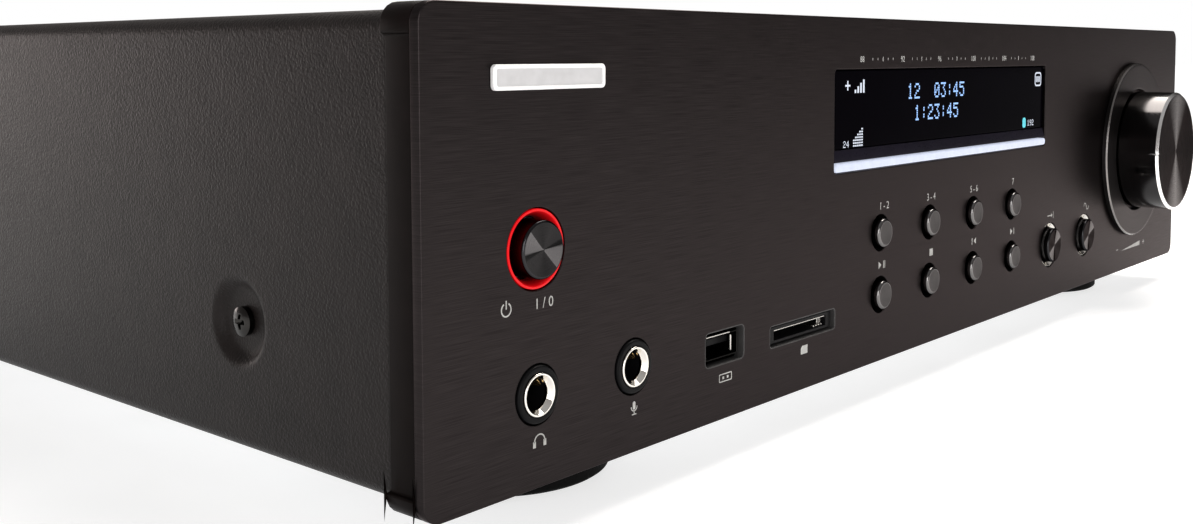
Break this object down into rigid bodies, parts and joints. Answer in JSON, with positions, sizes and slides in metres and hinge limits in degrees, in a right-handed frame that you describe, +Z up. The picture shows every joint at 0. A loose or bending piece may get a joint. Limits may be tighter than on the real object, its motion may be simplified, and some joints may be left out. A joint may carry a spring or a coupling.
{
  "type": "stereo receiver",
  "caption": "Stereo receiver in a bent steel case with an aluminium front, a large volume knob, push buttons, a display window, and sockets at the front and rear.",
  "frame": {"origin": "on the surface that the receiver stands on, at the centre of its overall box", "axes": "+X to the right of someone facing the front, +Y towards the rear, +Z up; the front faces -Y"},
  "size_m": [0.43, 0.3472, 0.107],
  "materials": {
    "plate": "black anodised, brushed along its length",
    "frame": "moulded black plastic",
    "cover": "black powder coat with a fine texture",
    "chassis": "plain zinc-plated steel",
    "rear_sheet": "smooth satin black paint",
    "window": "dark tinted clear plastic, polished",
    "sill": "dark blue-grey gloss plastic",
    "light_bar": "clear light guide, lit pale lavender white",
    "display": "dark display module with lit pale blue characters",
    "badge": "bright satin metal",
    "button": "spun, polished, black anodised",
    "key": "satin black plastic with a bright edge",
    "light_ring": "red light guide, lit",
    "bright_ring": "polished nickel",
    "knob": "polished black anodised with a spun face and a bright cut edge",
    "disc": "black anodised, with a bright cut edge",
    "shaft": "turned steel",
    "jack": "black plastic",
    "socket_metal": "tin-plated steel",
    "board": "green printed circuit board",
    "heatsink": "extruded, plain",
    "core": "varnished steel laminations",
    "winding": "copper wire under tape",
    "can": "sleeved aluminium can",
    "tuner_can": "tin-plated steel can",
    "foot": "moulded black, with a softer pad",
    "screw": "black-plated steel",
    "rear_plastic": "moulded black plastic",
    "cap_red": "red plastic",
    "cap_black": "black plastic"
  },
  "bodies": {
    "case": {"front_plate": "plate", "front_frame": "frame", "display_window": "window", "window_sill": "sill", "light_bar": "light_bar", "display_module": "display", "badge_plate": "badge", "standby_light_ring": "light_ring", "source_ring": "bright_ring", "mode_ring": "bright_ring", "volume_disc": "disc", "encoder_body": "socket_metal", "headphone_jack": "jack", "headphone_jack_ring": "bright_ring", "microphone_jack": "jack", "microphone_jack_ring": "bright_ring", "usb_socket": "socket_metal", "card_socket": "jack", "key_board": "board", "standby_board": "board", "top_cover": "cover", "bottom_chassis": "chassis", "rear_panel": "rear_sheet", "main_board": "board", "power_board": "board", "heatsink": "heatsink", "transformer_core": "core", "transformer_winding": "winding", "reservoir_capacitor_1": "can", "reservoir_capacitor_2": "can", "tuner_module": "tuner_can", "mains_inlet": "rear_plastic", "aerial_socket": "socket_metal", "line_socket_block": "rear_plastic", "speaker_terminal_block": "rear_plastic", "cover_screw_front_left": "screw", "foot_front_left": "foot", "cover_screw_front_right": "screw", "foot_front_right": "foot", "cover_screw_rear_left": "screw", "foot_rear_left": "foot", "cover_screw_rear_right": "screw", "foot_rear_right": "foot"},
    "standby_button": {"standby_button": "button"},
    "band_button": {"band_button": "key"},
    "memory_button": {"memory_button": "key"},
    "tuning_down_button": {"tuning_down_button": "key"},
    "tuning_up_button": {"tuning_up_button": "key"},
    "play_button": {"play_button": "key"},
    "stop_button": {"stop_button": "key"},
    "skip_back_button": {"skip_back_button": "key"},
    "skip_forward_button": {"skip_forward_button": "key"},
    "source_button": {"source_button": "button"},
    "mode_button": {"mode_button": "button"},
    "volume": {"volume_knob": "knob", "encoder_shaft": "shaft"},
    "terminal_cap_right_negative": {"terminal_cap_right_negative": "cap_black"},
    "terminal_cap_right_positive": {"terminal_cap_right_positive": "cap_red"},
    "terminal_cap_left_negative": {"terminal_cap_left_negative": "cap_black"},
    "terminal_cap_left_positive": {"terminal_cap_left_positive": "cap_red"}
  },
  "joints": [
    {"name": "standby_press", "type": "slide", "parent": "case", "child": "standby_button", "axis": [0, 1, 0], "range_m": [0, 0.0012], "stiffness_N_per_m": 600, "springref_m": -0.0008},
    {"name": "band_press", "type": "slide", "parent": "case", "child": "band_button", "axis": [0, 1, 0], "range_m": [0, 0.0012], "stiffness_N_per_m": 600, "springref_m": -0.0008},
    {"name": "memory_press", "type": "slide", "parent": "case", "child": "memory_button", "axis": [0, 1, 0], "range_m": [0, 0.0012], "stiffness_N_per_m": 600, "springref_m": -0.0008},
    {"name": "tuning_down_press", "type": "slide", "parent": "case", "child": "tuning_down_button", "axis": [0, 1, 0], "range_m": [0, 0.0012], "stiffness_N_per_m": 600, "springref_m": -0.0008},
    {"name": "tuning_up_press", "type": "slide", "parent": "case", "child": "tuning_up_button", "axis": [0, 1, 0], "range_m": [0, 0.0012], "stiffness_N_per_m": 600, "springref_m": -0.0008},
    {"name": "play_press", "type": "slide", "parent": "case", "child": "play_button", "axis": [0, 1, 0], "range_m": [0, 0.0012], "stiffness_N_per_m": 600, "springref_m": -0.0008},
    {"name": "stop_press", "type": "slide", "parent": "case", "child": "stop_button", "axis": [0, 1, 0], "range_m": [0, 0.0012], "stiffness_N_per_m": 600, "springref_m": -0.0008},
    {"name": "skip_back_press", "type": "slide", "parent": "case", "child": "skip_back_button", "axis": [0, 1, 0], "range_m": [0, 0.0012], "stiffness_N_per_m": 600, "springref_m": -0.0008},
    {"name": "skip_forward_press", "type": "slide", "parent": "case", "child": "skip_forward_button", "axis": [0, 1, 0], "range_m": [0, 0.0012], "stiffness_N_per_m": 600, "springref_m": -0.0008},
    {"name": "source_press", "type": "slide", "parent": "case", "child": "source_button", "axis": [0, 1, 0], "range_m": [0, 0.0012], "stiffness_N_per_m": 600, "springref_m": -0.0008},
    {"name": "mode_press", "type": "slide", "parent": "case", "child": "mode_button", "axis": [0, 1, 0], "range_m": [0, 0.0012], "stiffness_N_per_m": 600, "springref_m": -0.0008},
    {"name": "volume_turn", "type": "hinge", "parent": "case", "child": "volume", "pos_m": [0.162, -0.16665, 0.05885], "axis": [0, 1, 0], "continuous": true},
    {"name": "terminal_right_negative_unscrew", "type": "hinge", "parent": "case", "child": "terminal_cap_right_negative", "pos_m": [-0.08092, 0.16465, 0.04453], "axis": [0, 1, 0], "range_deg": [0, 720]},
    {"name": "terminal_right_positive_unscrew", "type": "hinge", "parent": "case", "child": "terminal_cap_right_positive", "pos_m": [-0.08092, 0.16465, 0.06353], "axis": [0, 1, 0], "range_deg": [0, 720]},
    {"name": "terminal_left_negative_unscrew", "type": "hinge", "parent": "case", "child": "terminal_cap_left_negative", "pos_m": [-0.05908, 0.16465, 0.04453], "axis": [0, 1, 0], "range_deg": [0, 720]},
    {"name": "terminal_left_positive_unscrew", "type": "hinge", "parent": "case", "child": "terminal_cap_left_positive", "pos_m": [-0.05908, 0.16465, 0.06353], "axis": [0, 1, 0], "range_deg": [0, 720]}
  ]
}
